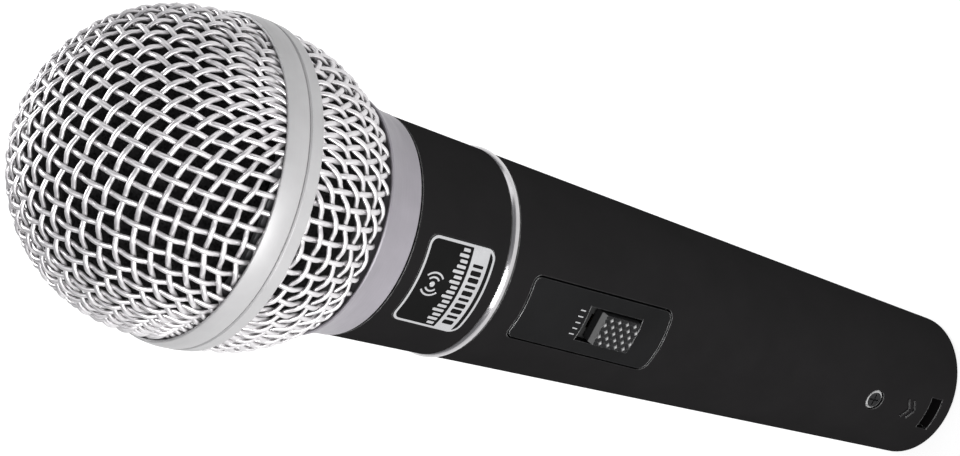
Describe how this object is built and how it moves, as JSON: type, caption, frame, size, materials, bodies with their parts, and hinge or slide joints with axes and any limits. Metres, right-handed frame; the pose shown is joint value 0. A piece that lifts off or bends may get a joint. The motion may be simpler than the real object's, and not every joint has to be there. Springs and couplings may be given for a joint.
{
  "type": "handheld microphone",
  "caption": "Hand-held dynamic microphone: tapered metal handle with a slide switch, screw-off woven ball grille, cartridge inside and a three-pin socket in the tail.",
  "frame": {"origin": "centre of the tail face, on the handle's axis", "axes": "+Z along the handle from the tail to the head; -Y out through the switch and the nameplate; +X to the right of the switch when the head is up"},
  "size_m": [0.0506, 0.0506, 0.1795],
  "materials": {
    "handle_paint": "satin black paint on die-cast metal",
    "accent_chrome": "bright diamond-cut ring",
    "name_metal": "satin aluminium",
    "name_enamel": "black enamel",
    "switch_black": "fine matte black plastic",
    "switch_thumb": "satin dark grey knurled plastic",
    "switch_steel": "stamped tin-plated steel",
    "contact_metal": "plated brass",
    "insert_plastic": "glass-filled black plastic",
    "screw_steel": "blackened steel",
    "shock_rubber": "soft black rubber",
    "chamber_plastic": "dark grey plastic",
    "capsule_metal": "spun aluminium",
    "magnet_iron": "dark magnet alloy and soft iron",
    "coil_copper": "lacquered copper wire",
    "diaphragm_film": "thin clear film",
    "felt": "thin black felt",
    "foam": "black open-cell foam",
    "lead_red": "red insulated lead",
    "lead_orange": "orange insulated lead",
    "lead_black": "black insulated lead",
    "lead_white": "white insulated lead",
    "grille_wire": "nickel-plated woven wire",
    "grille_band": "satin light-silver metal",
    "collar_metal": "satin warm-grey metal",
    "support_metal": "grey steel strip"
  },
  "bodies": {
    "handle": {"handle_body": "handle_paint", "neck_sleeve": "handle_paint", "accent_ring": "accent_chrome", "nameplate": "name_metal", "nameplate_inlay": "name_enamel", "switch_plate": "switch_black", "switch_housing": "switch_steel", "switch_terminal_1": "contact_metal", "switch_terminal_2": "contact_metal", "switch_terminal_3": "contact_metal", "xlr_insert": "insert_plastic", "xlr_pin_1": "contact_metal", "xlr_pin_2": "contact_metal", "xlr_pin_3": "contact_metal", "xlr_ground_tab": "contact_metal", "xlr_screw": "screw_steel", "shock_mount": "shock_rubber", "rear_chamber": "chamber_plastic", "cartridge_housing": "capsule_metal", "yoke": "magnet_iron", "magnet": "magnet_iron", "pole_piece": "magnet_iron", "voice_coil": "coil_copper", "diaphragm": "diaphragm_film", "cartridge_cap": "insert_plastic", "felt_disc": "felt", "lead_hot": "lead_red", "lead_switched": "lead_orange", "lead_return": "lead_black", "lead_cold": "lead_white"},
    "grille_foam": {"foam_liner": "foam"},
    "grille": {"grille_front_mesh": "grille_wire", "grille_rear_mesh": "grille_wire", "grille_band_front": "grille_band", "grille_band_rear": "grille_band", "grille_support_ring": "support_metal", "grille_collar": "collar_metal"},
    "switch_slider": {"switch_thumb": "switch_thumb", "switch_wiper": "contact_metal"}
  },
  "joints": [
    {"name": "grille_advance", "type": "slide", "parent": "handle", "child": "grille_foam", "axis": [0, 0, 1], "range_m": [0, 0.005]},
    {"name": "grille_turn", "type": "hinge", "parent": "grille_foam", "child": "grille", "pos_m": [0, 0, 0.1227], "axis": [0, 0, 1], "range_deg": [0, 1800]},
    {"name": "switch_slide", "type": "slide", "parent": "handle", "child": "switch_slider", "axis": [0, -0.0423, 0.9991], "range_m": [0, 0.0024]}
  ],
  "couplings": [
    {"joint": "grille_advance", "follows": "grille_turn", "m_per_rad": 0.00015915}
  ]
}
